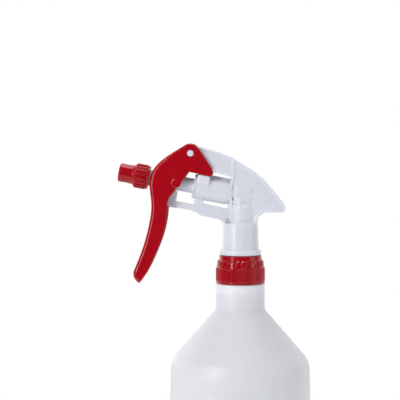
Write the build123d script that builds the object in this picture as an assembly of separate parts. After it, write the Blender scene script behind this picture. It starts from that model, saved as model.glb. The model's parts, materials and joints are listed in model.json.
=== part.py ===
"""Hand trigger sprayer on a one-litre plastic bottle.

Millimetres, +Z up. The origin is the centre of the bottle's standing ring, and the
nozzle points towards -X. The pump head is drawn in its own tilted frame: u runs back
along the barrel, v runs up across it, and the trigger's pivot is (0, 0).
"""

from build123d import *
from math import atan2, cos, degrees, hypot, radians, sin
import os

# ---------------------------------------------------------------- driving dimensions
# Bottle
BODY_R = 47.9            # body radius below the shoulder blend
SHOULDER_R = 47.2        # body radius where the shoulder starts
BODY_TAPER_H = 25.0      # height over which the body widens from SHOULDER_R to BODY_R
SHOULDER_Z = 130.0       # where body and cone would meet
CONE_H = 35.7            # height of the conical shoulder
NECK_H = 17.0            # height of the plain neck
FINISH_ROOT_R = 12.65    # threaded finish, root radius
RIDGE_H = 1.0            # height of the thread ridge
FINISH_WALL = 1.85       # wall of the threaded finish
FINISH_H = 14.7          # threaded finish, ledge to lip
BOTTLE_WALL = 1.3
SHOULDER_BLEND = 17.0
HEEL_R = 7.0
PUSH_UP = 3.5            # hollow under the base
STAND_RING_R = 38.0      # inner radius of the standing ring
THREAD_PITCH = 4.233
THREAD_TURNS = 1.5
RIDGE_ROOT_W = 2.0
RIDGE_CREST_W = 1.0

# Closure, gasket and insert
FIT_GAP = 0.3            # clearance between bodies that move past each other
SNUG = 0.05              # clearance of a piece pressed into its seat
CLOSURE_WALL = 2.5
CLOSURE_TOP_T = 2.0
CLOSURE_RING_H = 3.0
CLOSURE_BAND_H = 4.6
BAND_INSET = 0.45        # chamfered band inside the ribbed skirt
RIB_H = 0.4
RIBS = 60
NOTCHES = 28
COLLAR_GAP = 0.3         # closure's lower edge above the neck ledge
FLANGE_OVER = 0.55       # insert's flange beyond the root of the finish
FLANGE_T = 1.8
GASKET_T = 1.5
GASKET_LAND = 3.7        # width of the gasket

# Stem of the pump head
STEM_STEP = 1.1          # stem's foot inside the insert's flange
STEM_LIP = 2.1           # stem's flange beyond its foot
STEM_FLANGE_H = 3.2
STEM_H = 18.4
STEM_TAPER = 0.7
STEM_WALL = 1.7
UPPER_STEM_R = 9.0
UPPER_STEM_X = 1.2
UPPER_STEM_H = 12.0

# Intake
TUBE_R = 2.95
TUBE_BORE_R = 2.1
TUBE_END_Z = 9.0         # lower end of the dip tube above the standing ring
BALL_R = 2.75
BALL_LIFT = 1.2
CAGE_GAP = 0.55          # round the ball in its cage
TOWER_WALL = 1.9
SOCKET_DEPTH = 17.0
RISE_R = 4.2             # passage from the tower up to the barrel

# Pump head frame
PIVOT_X = -33.73
PIVOT_RISE = 47.3        # pivot above the top of the stem
HEAD_TILT = 10.5         # degrees, nozzle end up
AXIS_V = -21.6           # barrel and nozzle axis below the pivot

# Barrel and piston
BORE_R = 6.4
BARREL_WALL = 1.9
MOUTH_U = 7.4
BARREL_END_U = 29.5
BORE_END_U = 30.6
CHAMBER_INSET = 2.0      # chamber's outside inside the barrel's
CHAMBER_U = 34.0
CHAMBER_END_U = 45.0
GUIDE_T = 1.5
GUIDE_SLEEVE = 2.6
ROD_R = 5.0
PISTON_FRONT_U = -8.8
PISTON_HEAD_U = 10.8
PISTON_END_U = 20.4
SPRING_FLOOR_U = 4.0
SPRING_R = 2.9
SPRING_WIRE = 0.8
SPRING_TURNS = 10
STROKE = 9.5
PULL_DEG = 25.0
RUN_GAP = 0.05           # radial clearance of a sliding or turning fit

# Trigger
EAR_R = 6.7
SIDE_GAP = 0.4           # lever's sides clear of the barrel
TRIGGER_WALL = 1.5
WEB_T = 1.6
LEVER_ROUND = 2.8        # rounding along the lever's front corners
EAR_ROUND = 1.8
PIN_R = 2.25
DRIVE_PIN_R = 1.65
DRIVE_U = -5.5
DRIVE_V = -21.3
BOSS_R = 3.1
SLOT_GAP = 0.8           # nozzle pipe clear of the slot in the front of the trigger

# Frame of the head
ARM_HALF = 7.0
NOSE_R = 4.3
RIM_T = 1.6
WEB_HALF = 1.6
BAR_HALF = 3.3

# Nozzle
PIPE_R = 5.6
PIPE_BORE_R = 3.0
PIPE_REAR_U = -10.6
PIPE_SHOULDER_U = -24.0
PIPE_STEP_U = -37.2
PIPE_NOSE_R = 4.2
PIPE_FRONT_U = -42.6
VALVE_SEAT_U = -16.0
SPINNER_REAR_U = -22.5
NOZZLE_ROOT_R = 4.8
NOZZLE_RIDGE_H = 0.7
NOZZLE_PITCH = 3.0
CAP_REAR_U = -24.7
CAP_FLARE_U = -34.7
CAP_FRONT_U = -45.7
CAP_GAP = 0.25
CAP_WALL = 2.6           # at the ribs
CAP_FRONT_WALL = 1.55
CAP_RIBS = 18
ORIFICE_R = 0.4

# ---------------------------------------------------------------- derived places
FINISH_CREST_R = FINISH_ROOT_R + RIDGE_H
CLOSURE_BORE_R = FINISH_CREST_R + FIT_GAP
CLOSURE_SKIRT_R = CLOSURE_BORE_R + CLOSURE_WALL
CLOSURE_BAND_R = CLOSURE_SKIRT_R - BAND_INSET
NECK_R = CLOSURE_SKIRT_R + 0.15
FLANGE_R = FINISH_ROOT_R + FLANGE_OVER
GASKET_HOLE_R = FLANGE_R - GASKET_LAND
STEM_FOOT_R = FLANGE_R - STEM_STEP
STEM_BORE_R = STEM_FOOT_R - STEM_WALL
STEM_FLANGE_R = STEM_FOOT_R + STEM_LIP
STEM_LOW_R = STEM_FOOT_R + 0.4
STEM_TOP_R = STEM_LOW_R - STEM_TAPER
CLOSURE_RING_R = STEM_FLANGE_R + 0.25

NECK_Z = SHOULDER_Z + CONE_H
LEDGE_Z = NECK_Z + NECK_H
LIP_Z = LEDGE_Z + FINISH_H
CLOSURE_Z = LEDGE_Z + COLLAR_GAP
GASKET_Z = LIP_Z
FLANGE_Z = GASKET_Z + GASKET_T
CLOSURE_TOP_Z = FLANGE_Z + FLANGE_T + CLOSURE_TOP_T
STEM_FLANGE_Z = CLOSURE_TOP_Z + COLLAR_GAP
STEM_Z = STEM_FLANGE_Z + STEM_FLANGE_H
STEM_TOP_Z = STEM_Z + STEM_H
PIVOT_Z = STEM_TOP_Z + PIVOT_RISE
HEAD = Location((PIVOT_X, 0, PIVOT_Z)) * Rotation(0, HEAD_TILT, 0)

SEAT_Z = FLANGE_Z + 2.1
SEAT_R = BALL_R - 0.75
BALL_Z = SEAT_Z + (BALL_R ** 2 - SEAT_R ** 2) ** 0.5 + 0.04
CAGE_R = BALL_R + CAGE_GAP
TOWER_R = CAGE_R + TOWER_WALL
TOWER_TOP_Z = STEM_TOP_Z - 2.1

BARREL_R = BORE_R + BARREL_WALL
CHAMBER_R = BARREL_R - CHAMBER_INSET
ROD_BORE_R = SPRING_R + SPRING_WIRE / 2 + 0.45
LEVER_HALF = BARREL_R + SIDE_GAP + TRIGGER_WALL
EAR_HALF = ARM_HALF + FIT_GAP + TRIGGER_WALL
SLOT_HALF = PIPE_R + SLOT_GAP
NOZZLE_CREST_R = NOZZLE_ROOT_R + NOZZLE_RIDGE_H
CAP_BORE_R = NOZZLE_CREST_R + CAP_GAP
CAP_RIB_R = CAP_BORE_R + CAP_WALL
CAP_NOSE_R = PIPE_NOSE_R + 0.65
CAP_FRONT_R = CAP_NOSE_R + CAP_FRONT_WALL


# ---------------------------------------------------------------- helpers
def revolved(points, fillets=()):
    """Solid of revolution about Z from (radius, height) points, some corners rounded."""
    face = make_face(Polyline(*[(r, z) for r, z in points], close=True))
    for index, radius in fillets:
        at = Vector(*points[index])
        corner = face.vertices().sort_by_distance(at)[0]
        face = fillet(corner, radius)
    return revolve(Plane.XZ * face, Axis.Z)


def plate(points, half):
    """Plate in the u-v plane, from -half to +half across."""
    return slab(make_face(Polyline(*points, close=True)), half)


def slab(face, half):
    """Plate of that outline in the u-v plane, from -half to +half across."""
    return extrude(Plane.XZ * face, half, both=True)


def along(radius, start, end, end_radius=None, v=AXIS_V):
    """Cylinder, or cone with an end radius, along u at height v."""
    tip = radius if end_radius is None else end_radius
    body = Cone(radius, tip, abs(end - start)) if tip != radius else Cylinder(radius, abs(end - start))
    turn = Rotation(0, 90 if end > start else -90, 0)
    return Pos((start + end) / 2, 0, v) * turn * body


def across(radius, half, u, v):
    """Pin across the head, from -half to +half."""
    return Pos(u, 0, v) * Rotation(90, 0, 0) * Cylinder(radius, 2 * half)


def turned(points, v=AXIS_V):
    """Solid of revolution about the barrel axis from (u, radius) points."""
    face = make_face(Polyline(*[(u, r) for u, r in points], close=True))
    return Pos(0, 0, v) * revolve(Plane.XZ * face, Axis.X)


def ridge(root_r, crest_r, pitch, turns, root_w, crest_w):
    """Helical thread ridge from z = 0 upwards; crest_r may lie inside or outside root_r."""
    path = Helix(pitch, pitch * turns, root_r)
    sink = 0.25 if crest_r > root_r else -0.25
    depth = crest_r - root_r
    section = make_face(Polyline(
        (-sink, -root_w / 2), (depth, -crest_w / 2), (depth, crest_w / 2), (-sink, root_w / 2),
        close=True,
    ))
    start = Plane(origin=path @ 0, x_dir=(1, 0, 0), z_dir=(0, -1, 0))
    return sweep(start * section, path, is_frenet=True)


def rounded(points):
    """Face inside an outline of (x, z, r) points, each corner blended with its radius r."""
    face = make_face(Polyline(*[(x, z) for x, z, r in points], close=True))
    for x, z, r in points:
        if r:
            corner = face.vertices().sort_by_distance(Vector(x, z))[0]
            face = fillet(corner, r)
    return face


def mirrored_pair(part):
    """The piece and its mirror image across the middle plane, as a list."""
    return [part, mirror(part, Plane.XZ)]


def mirrored_parts(part):
    """The piece and its mirror image across the middle plane, as one shape."""
    return part + mirror(part, Plane.XZ)


def spot(u, v):
    """World x and z of a point given in the head's tilted frame."""
    tilt = radians(HEAD_TILT)
    return PIVOT_X + u * cos(tilt) + v * sin(tilt), PIVOT_Z - u * sin(tilt) + v * cos(tilt)


# ---------------------------------------------------------------- bottle and closure
def make_bottle():
    heel = (STAND_RING_R + 1.5, 0)
    outer = revolved([
        (0, PUSH_UP), (STAND_RING_R - 6, PUSH_UP), (STAND_RING_R, 0), heel,
        (BODY_R, HEEL_R), (BODY_R, SHOULDER_Z - BODY_TAPER_H), (SHOULDER_R, SHOULDER_Z),
        (NECK_R, NECK_Z), (NECK_R, LEDGE_Z), (FINISH_ROOT_R, LEDGE_Z),
        (FINISH_ROOT_R, LIP_Z), (0, LIP_Z),
    ], fillets=[(4, 8.0), (6, SHOULDER_BLEND), (7, 3.0)])
    bore = FINISH_ROOT_R - FINISH_WALL
    inner = revolved([
        (0, PUSH_UP + BOTTLE_WALL), (STAND_RING_R - 5.4, PUSH_UP + BOTTLE_WALL),
        (STAND_RING_R + 0.6, BOTTLE_WALL), (STAND_RING_R + 1.3, BOTTLE_WALL),
        (BODY_R - BOTTLE_WALL, HEEL_R + 0.6), (BODY_R - BOTTLE_WALL, SHOULDER_Z - BODY_TAPER_H),
        (SHOULDER_R - BOTTLE_WALL, SHOULDER_Z - 0.4), (NECK_R - BOTTLE_WALL, NECK_Z - 0.4),
        (NECK_R - BOTTLE_WALL, LEDGE_Z - 3.5), (bore, LEDGE_Z - 1.0), (bore, LIP_Z + 1), (0, LIP_Z + 1),
    ], fillets=[(4, 7.0), (6, SHOULDER_BLEND - BOTTLE_WALL), (7, 3.0)])
    thread = ridge(
        FINISH_ROOT_R, FINISH_CREST_R, THREAD_PITCH, THREAD_TURNS, RIDGE_ROOT_W, RIDGE_CREST_W)
    return outer - inner + Pos(0, 0, LEDGE_Z + 3.5) * thread


def make_closure():
    bore = CLOSURE_BORE_R
    ring_z = CLOSURE_TOP_Z - CLOSURE_RING_H
    band_z = ring_z - CLOSURE_BAND_H
    body = revolved([
        (STEM_FOOT_R + FIT_GAP, CLOSURE_TOP_Z), (CLOSURE_RING_R, CLOSURE_TOP_Z),
        (CLOSURE_RING_R, ring_z), (CLOSURE_BAND_R - 0.9, ring_z), (CLOSURE_BAND_R, band_z),
        (CLOSURE_SKIRT_R, CLOSURE_Z + 1.6), (CLOSURE_SKIRT_R + RIB_H, CLOSURE_Z + 1.4),
        (CLOSURE_SKIRT_R + RIB_H, CLOSURE_Z), (bore, CLOSURE_Z),
        (bore, CLOSURE_TOP_Z - CLOSURE_TOP_T), (STEM_FOOT_R + FIT_GAP, CLOSURE_TOP_Z - CLOSURE_TOP_T),
    ])
    rib_len = band_z - CLOSURE_Z - 1.0
    rib = Pos(CLOSURE_SKIRT_R - 0.35, 0, CLOSURE_Z + 1.0 + rib_len / 2) * Box(1.1, 0.8, rib_len)
    notch = Pos(CLOSURE_BAND_R + 0.1, 0, band_z + CLOSURE_BAND_H / 2) * Box(1.5, 1.7, 3.4)
    body += [Rot(0, 0, i * 360 / RIBS) * rib for i in range(RIBS)]
    body -= [Rot(0, 0, i * 360 / NOTCHES) * notch for i in range(NOTCHES)]
    thread = ridge(bore, bore - RIDGE_H, THREAD_PITCH, THREAD_TURNS, RIDGE_ROOT_W, RIDGE_CREST_W)
    return body + Pos(0, 0, LEDGE_Z + 3.5 - THREAD_PITCH / 2) * thread


def make_closure_gasket():
    return revolved([
        (GASKET_HOLE_R, GASKET_Z), (FLANGE_R, GASKET_Z),
        (FLANGE_R, FLANGE_Z), (GASKET_HOLE_R, FLANGE_Z),
    ])


# ---------------------------------------------------------------- intake

def make_valve_insert():
    sleeve_r = STEM_BORE_R - SNUG
    body = revolved([
        (0, FLANGE_Z - SOCKET_DEPTH), (TUBE_R + 2.0, FLANGE_Z - SOCKET_DEPTH), (TUBE_R + 2.2, FLANGE_Z),
        (FLANGE_R, FLANGE_Z), (FLANGE_R, FLANGE_Z + FLANGE_T),
        (sleeve_r, FLANGE_Z + FLANGE_T), (sleeve_r, FLANGE_Z + 7.1), (sleeve_r - 1.3, FLANGE_Z + 7.1),
        (sleeve_r - 1.3, FLANGE_Z + 3.0), (TOWER_R, FLANGE_Z + 3.0), (TOWER_R, TOWER_TOP_Z - 0.6),
        (RISE_R - SNUG, TOWER_TOP_Z - 0.6), (RISE_R - SNUG, TOWER_TOP_Z + 3.6), (0, TOWER_TOP_Z + 3.6),
    ])
    body -= revolved([
        (0, FLANGE_Z - SOCKET_DEPTH - 1), (TUBE_R + 0.35, FLANGE_Z - SOCKET_DEPTH - 1),
        (TUBE_R + 0.35, FLANGE_Z - SOCKET_DEPTH), (TUBE_R + SNUG, FLANGE_Z - SOCKET_DEPTH + 1.2),
        (TUBE_R + SNUG, FLANGE_Z), (SEAT_R, FLANGE_Z), (SEAT_R, SEAT_Z),
        (CAGE_R, SEAT_Z + 1.3), (CAGE_R, TOWER_TOP_Z - 1.5), (RISE_R - 1.4, TOWER_TOP_Z),
        (RISE_R - 1.4, TOWER_TOP_Z + 4.6), (0, TOWER_TOP_Z + 4.6),
    ])
    stop_z = BALL_Z + BALL_R + BALL_LIFT
    body += Pos(0, 0, stop_z + 0.7) * Box(2 * CAGE_R + 1, 1.2, 1.4)
    vents = [Pos(x, 0, FLANGE_Z + 1.5) * Cylinder(0.9, 6) for x in (-7.2, 7.2)]
    return body - vents


def make_dip_tube():
    length = FLANGE_Z - 0.1 - TUBE_END_Z
    ring = Cylinder(TUBE_R, length) - Cylinder(TUBE_BORE_R, length)
    return Pos(0, 0, TUBE_END_Z + length / 2) * ring


def make_tube_filter():
    """Strainer cap pushed over the lower end of the dip tube."""
    low = TUBE_END_Z - 2.4
    cap = revolved([
        (0, low), (TUBE_R + 1.1, low), (TUBE_R + 1.1, TUBE_END_Z + 7),
        (TUBE_R + SNUG, TUBE_END_Z + 7), (TUBE_R + SNUG, TUBE_END_Z - 0.05),
        (TUBE_BORE_R, TUBE_END_Z - 0.05), (TUBE_BORE_R, low + 1.0), (0, low + 1.0),
    ])
    slot = Pos(0, 0, low + 1.3) * Box(10, 0.8, 1.0)
    return cap - [Rot(0, 0, a) * slot for a in (0, 45, 90, 135)]


def make_intake_ball():
    return Pos(0, 0, BALL_Z) * Sphere(BALL_R)


# ---------------------------------------------------------------- pump head
def arm_face():
    """Outline of the arm and tail, in world x and z, with a blend radius at each corner."""
    top = STEM_TOP_Z
    return rounded([
        (PIVOT_X, PIVOT_Z, 0), (PIVOT_X + 1.0, PIVOT_Z + 4.0, 0), (PIVOT_X + 4.8, PIVOT_Z + 5.1, 2.5),
        (-8.0, top + 46.1, 60), (14.0, top + 32.1, 50), (30.8, top + 11.8, 5), (29.4, top + 7.4, 1.6),
        (16.0, top + 7.4, 3), (11.6, top + 4.0, 3), (11.6, top - 1.2, 0), (-6.0, top - 1.2, 0),
        (*spot(33.0, -30.0), 0), (*spot(30.2, -20.0), 0), (*spot(30.2, -10.4), 0.8),
        (*spot(16.0, -9.6), 0), (*spot(3.0, -4.3), 0),
    ])


def make_arm():
    """Arm and tail: a thin web inside a full-width rim, with the pivot pins at the nose."""
    face = arm_face()
    arm = slab(face, ARM_HALF)
    panel = offset(face, amount=-RIM_T)
    for side in (1, -1):
        arm -= Pos(0, side * (ARM_HALF + WEB_HALF) / 2, 0) * slab(panel, (ARM_HALF - WEB_HALF) / 2)
    arm += Pos(-4.8, 0, STEM_TOP_Z + 37.7) * Box(1.8, 2 * ARM_HALF - 1.0, 12.0)
    arm += Pos(15.0, 0, STEM_TOP_Z + 17.2) * Rot(0, 7.5, 0) * Box(19.0, 2 * ARM_HALF - 3.0, 1.2)
    x, z = PIVOT_X, PIVOT_Z
    arm += Pos(x, 0, z) * Rotation(90, 0, 0) * Cylinder(NOSE_R, 2 * ARM_HALF)
    arm += Pos(x, 0, z) * Rotation(90, 0, 0) * Cylinder(PIN_R - RUN_GAP, 2 * EAR_HALF + 0.4)
    return arm


def make_stem():
    foot_z = FLANGE_Z + FLANGE_T + SNUG
    stem = revolved([
        (0, foot_z), (STEM_FOOT_R, foot_z), (STEM_FOOT_R, STEM_FLANGE_Z), (STEM_FLANGE_R, STEM_FLANGE_Z),
        (STEM_FLANGE_R, STEM_Z), (STEM_LOW_R, STEM_Z), (STEM_TOP_R, STEM_TOP_Z), (0, STEM_TOP_Z),
    ])
    neck = Pos(UPPER_STEM_X, 0, STEM_TOP_Z - 0.5 + UPPER_STEM_H / 2) * Cylinder(UPPER_STEM_R, UPPER_STEM_H)
    top = STEM_TOP_Z - 0.5 + UPPER_STEM_H
    cap = Pos(UPPER_STEM_X, 0, top + 2.2) * Cone(UPPER_STEM_R, 5.6, 4.4)
    return stem + neck + cap


def make_barrel():
    """Barrel, cone, valve chamber and top rib, about the head axis."""
    outer = turned([
        (MOUTH_U, 0), (MOUTH_U, BARREL_R), (BARREL_END_U, BARREL_R), (CHAMBER_U, CHAMBER_R),
        (CHAMBER_END_U, CHAMBER_R), (CHAMBER_END_U, 0),
    ])
    rib_len = BARREL_END_U - MOUTH_U
    outer += Pos(MOUTH_U + rib_len / 2, 0, AXIS_V + BARREL_R) * Box(rib_len, 2.4, 2.4)
    tab = Pos(12.5, 7.6, AXIS_V + 5.55) * Box(7.0, 2.3, 6.0)
    return outer + mirrored_pair(tab)


def make_bar():
    """Lower bar, the post that ties it to the barrel and the post that carries the pipe."""
    return plate([
        (-9.3, -37.2), (-8.0, -38.5), (6.4, -37.9), (10.6, -38.6), (13.8, -40.2), (27.7, -40.6),
        (30.1, -42.6), (36.0, -43.0), (37.0, -26.0), (31.0, -26.0), (31.0, -32.4), (14.0, -32.2),
        (14.0, -29.0), (8.4, -29.0), (8.4, -34.0), (-4.0, -34.0), (-4.0, -27.2), (-9.5, -27.2),
        (-9.5, -17.0), (-13.0, -17.0), (-17.5, -26.5), (-12.5, -32.0),
    ], BAR_HALF)


def make_pipe():
    pipe = turned([
        (-9.5, 0), (-9.5, PIPE_R), (PIPE_SHOULDER_U, PIPE_R), (PIPE_SHOULDER_U, NOZZLE_ROOT_R),
        (PIPE_STEP_U, NOZZLE_ROOT_R), (PIPE_STEP_U, PIPE_NOSE_R), (PIPE_FRONT_U, PIPE_NOSE_R),
        (PIPE_FRONT_U, 0),
    ])
    thread = ridge(NOZZLE_ROOT_R, NOZZLE_CREST_R, NOZZLE_PITCH, 1.5, 1.4, 0.7)
    place = Pos(PIPE_SHOULDER_U - 3.2, 0, AXIS_V) * Rotation(0, -90, 0)
    return pipe + place * thread


def channel(start, end, radius=1.0):
    """Round passage between two points of the u-v plane."""
    du, dv = end[0] - start[0], end[1] - start[1]
    turn = Rotation(0, degrees(atan2(du, dv)), 0)
    middle = Pos((start[0] + end[0]) / 2, 0, (start[1] + end[1]) / 2)
    return middle * turn * Cylinder(radius, hypot(du, dv) + radius)


def make_sprayer_body():
    head = make_barrel() + make_bar() + make_pipe()
    passages = [
        turned([
            (MOUTH_U - 1, 0), (MOUTH_U - 1, BORE_R), (BORE_END_U, BORE_R), (BORE_END_U, 2.2),
            (CHAMBER_END_U - 2, 2.2), (CHAMBER_END_U - 2, 0),
        ]),
        turned([
            (-12.0, 0), (-12.0, 1.6), (VALVE_SEAT_U, 1.6), (VALVE_SEAT_U, PIPE_BORE_R),
            (PIPE_FRONT_U - 1, PIPE_BORE_R), (PIPE_FRONT_U - 1, 0),
        ]),
        channel((33.2, -22.0), (33.2, -40.3)),
        channel((33.2, -36.0), (-7.0, -36.0)),
        channel((-7.0, -36.0), (-13.0, -21.6)),
        Pos(33.2, -2.4, -40.3) * Rotation(90, 0, 0) * Cylinder(1.2, 4.8),
    ]
    bore = Pos(0, 0, FLANGE_Z) * Cylinder(STEM_BORE_R, TOWER_TOP_Z - FLANGE_Z, align=(
        Align.CENTER, Align.CENTER, Align.MIN))
    rise = Pos(0, 0, TOWER_TOP_Z - 1) * Cylinder(RISE_R, 20.5, align=(
        Align.CENTER, Align.CENTER, Align.MIN))
    return make_arm() + make_stem() + HEAD * head - [HEAD * p for p in passages] - bore - rise


def make_channel_plug():
    return HEAD * Pos(33.2, -BAR_HALF + 0.7, -40.3) * Rotation(90, 0, 0) * Cylinder(1.2 - SNUG, 1.8)


# ---------------------------------------------------------------- pump works
def make_barrel_guide():
    inner = ROD_R + RUN_GAP + 0.1
    return HEAD * turned([
        (MOUTH_U - GUIDE_T, inner), (MOUTH_U - GUIDE_T, BARREL_R - 0.3), (MOUTH_U - GUIDE_T + 0.3, BARREL_R),
        (MOUTH_U - SNUG, BARREL_R), (MOUTH_U - SNUG, BORE_R - SNUG), (MOUTH_U + GUIDE_SLEEVE, BORE_R - SNUG),
        (MOUTH_U + GUIDE_SLEEVE, inner),
    ])


def make_piston():
    crown = BORE_R - 0.25
    groove = ROD_R
    piston = turned([
        (PISTON_FRONT_U, 0), (PISTON_FRONT_U, ROD_R - 0.5), (PISTON_FRONT_U + 0.5, ROD_R),
        (PISTON_HEAD_U, ROD_R), (PISTON_HEAD_U, crown), (PISTON_HEAD_U + 1.2, crown),
        (PISTON_HEAD_U + 1.2, groove), (PISTON_HEAD_U + 3.6, groove), (PISTON_HEAD_U + 3.6, crown),
        (PISTON_HEAD_U + 5.4, crown), (PISTON_HEAD_U + 5.4, groove), (PISTON_END_U, groove),
        (PISTON_END_U, ROD_BORE_R), (SPRING_FLOOR_U, ROD_BORE_R), (SPRING_FLOOR_U, 0),
    ])
    drive_r = hypot(DRIVE_U, DRIVE_V)
    high = DRIVE_V + DRIVE_PIN_R + 0.25
    low = -drive_r - DRIVE_PIN_R - 0.2
    slot = Box(2 * DRIVE_PIN_R + 0.4, ROD_R * 2 + 1, high - low)
    web = Box(2 * DRIVE_PIN_R + 0.4, 4.0, high - low)
    return HEAD * (piston - Pos(DRIVE_U, 0, (high + low) / 2) * (slot - web))


def seal(start, length, lip):
    """Cup seal on the piston; the lip leans away from the seat."""
    inner = ROD_R + SNUG
    outer = BORE_R - RUN_GAP
    return HEAD * turned([
        (start + SNUG, inner), (start + SNUG, outer - lip), (start + length - 0.6, outer),
        (start + length, outer), (start + length, outer - 0.5), (start + length - 0.9, inner),
    ])


def make_vent_seal():
    return seal(PISTON_HEAD_U + 1.2, 2.3, 0.25)


def make_pressure_seal():
    return seal(PISTON_HEAD_U + 5.4, PISTON_END_U - PISTON_HEAD_U - 5.4, 0.35)


def coil(start, end, radius, wire, turns):
    """Coil spring on the barrel axis that fills the space from start to end."""
    length = end - start - 2 * SNUG - wire
    path = Helix(length / turns, length, radius)
    section = Plane(origin=path @ 0, z_dir=path % 0) * Circle(wire / 2)
    shape = sweep(section, path, is_frenet=True)
    return HEAD * Pos(start + SNUG + wire / 2, 0, AXIS_V) * Rotation(0, 90, 0) * shape


def make_return_spring():
    return coil(SPRING_FLOOR_U, BORE_END_U, SPRING_R, SPRING_WIRE, SPRING_TURNS)


def make_outlet_spring():
    return coil(SPINNER_REAR_U, VALVE_SEAT_U - 1.25, 1.6, 0.4, 4)


def make_outlet_valve():
    """Poppet that opens forwards in the nozzle pipe, with a fluted guide stem."""
    seat = VALVE_SEAT_U - SNUG
    head = turned([
        (seat, 0), (seat, 2.3), (seat - 1.2, 2.3), (seat - 1.2, 0.9), (seat - 8.2, 0.9),
        (seat - 8.2, 0),
    ])
    return HEAD * head


def make_spinner():
    """Swirl piece in the front of the nozzle pipe, with a blind hole for the valve stem."""
    rear, front = SPINNER_REAR_U, PIPE_FRONT_U + 0.1
    outer = PIPE_BORE_R - SNUG
    body = turned([
        (rear, 1.15), (rear, outer), (front, outer), (front, 0), (rear - 4.5, 0), (rear - 4.5, 1.15),
    ])
    middle = (rear + front) / 2
    flute = Pos(middle, outer, AXIS_V) * Box(rear - front + 2, 0.9, 1.2)
    return HEAD * (body - mirrored_pair(flute))


def make_nozzle_seal():
    rear, front = PIPE_FRONT_U - SNUG, CAP_FRONT_U + 1.8 + SNUG
    outer = CAP_NOSE_R - SNUG
    return HEAD * turned([(rear, 1.0), (rear, outer), (front, outer), (front, 1.0)])


def make_nozzle_cap():
    bore = CAP_BORE_R
    cap = turned([
        (CAP_REAR_U, bore), (CAP_REAR_U, CAP_RIB_R - 0.5), (CAP_FLARE_U, CAP_RIB_R - 0.9),
        (CAP_FLARE_U - 2.0, CAP_FRONT_R + 0.1), (CAP_FLARE_U - 5.0, CAP_FRONT_R - 0.2),
        (CAP_FRONT_U + 0.8, CAP_FRONT_R), (CAP_FRONT_U, CAP_FRONT_R - 0.8), (CAP_FRONT_U, ORIFICE_R),
        (CAP_FRONT_U + 1.8, ORIFICE_R), (CAP_FRONT_U + 1.8, CAP_NOSE_R), (PIPE_STEP_U - 0.4, CAP_NOSE_R),
        (PIPE_STEP_U - 0.4, bore),
    ])
    rib_len = CAP_REAR_U - CAP_FLARE_U
    rib = Pos(CAP_REAR_U - rib_len / 2, 0, CAP_RIB_R - 0.75) * Box(rib_len - 0.4, 1.4, 1.5)
    cap += [Pos(0, 0, AXIS_V) * Rotation(i * 360 / CAP_RIBS, 0, 0) * rib for i in range(CAP_RIBS)]
    thread = ridge(bore, bore - NOZZLE_RIDGE_H - 0.05, NOZZLE_PITCH, 1.5, 1.4, 0.7)
    place = Pos(PIPE_SHOULDER_U - 3.2 - NOZZLE_PITCH / 2, 0, AXIS_V) * Rotation(0, -90, 0)
    return HEAD * (cap + place * thread)


# ---------------------------------------------------------------- trigger
def trigger_face():
    """Side outline of the trigger, in world x and z from its pivot."""
    front = Spline(
        (-3.4, 5.8), (-17.6, -3.2), (-25.5, -11.7), (-27.7, -21.9), (-26.6, -32.9),
        (-28.3, -48.9), (-32.6, -64.5), (-38.5, -79.4),
    )
    tip = Spline((-38.5, -79.4), (-38.3, -84.1), (-34.6, -88.0))
    rear = Spline((-34.6, -88.0), (-30.9, -83.0), (-23.8, -69.1), (-18.2, -54.1), (-15.4, -33.1))
    ear = Polyline(
        (-15.4, -33.1), (-13.9, -29.5), (-2.7, -15.1), (-1.0, -12.5), (13.7, -15.7),
        (15.2, -14.3), (14.8, -10.4), (5.8, 2.9), (2.9, 6.0),
    )
    crown = Spline((2.9, 6.0), (-0.2, EAR_R + 0.1), (-3.4, 5.8))
    return make_face([*front.edges(), *tip.edges(), *rear.edges(), *ear.edges(), *crown.edges()])


def front_rounded(face, half, radius):
    """Plate of the trigger's outline with its front, tip and crown edges rounded."""
    body = slab(face, half)
    edges = [e for e in body.edges() if abs(abs(e.center().Y) - half) < 0.001]
    curved = [e for e in edges if e.geom_type != GeomType.LINE]
    return fillet([e for e in curved if e.center().X < -22 or e.center().Z > 3], radius)


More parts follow.
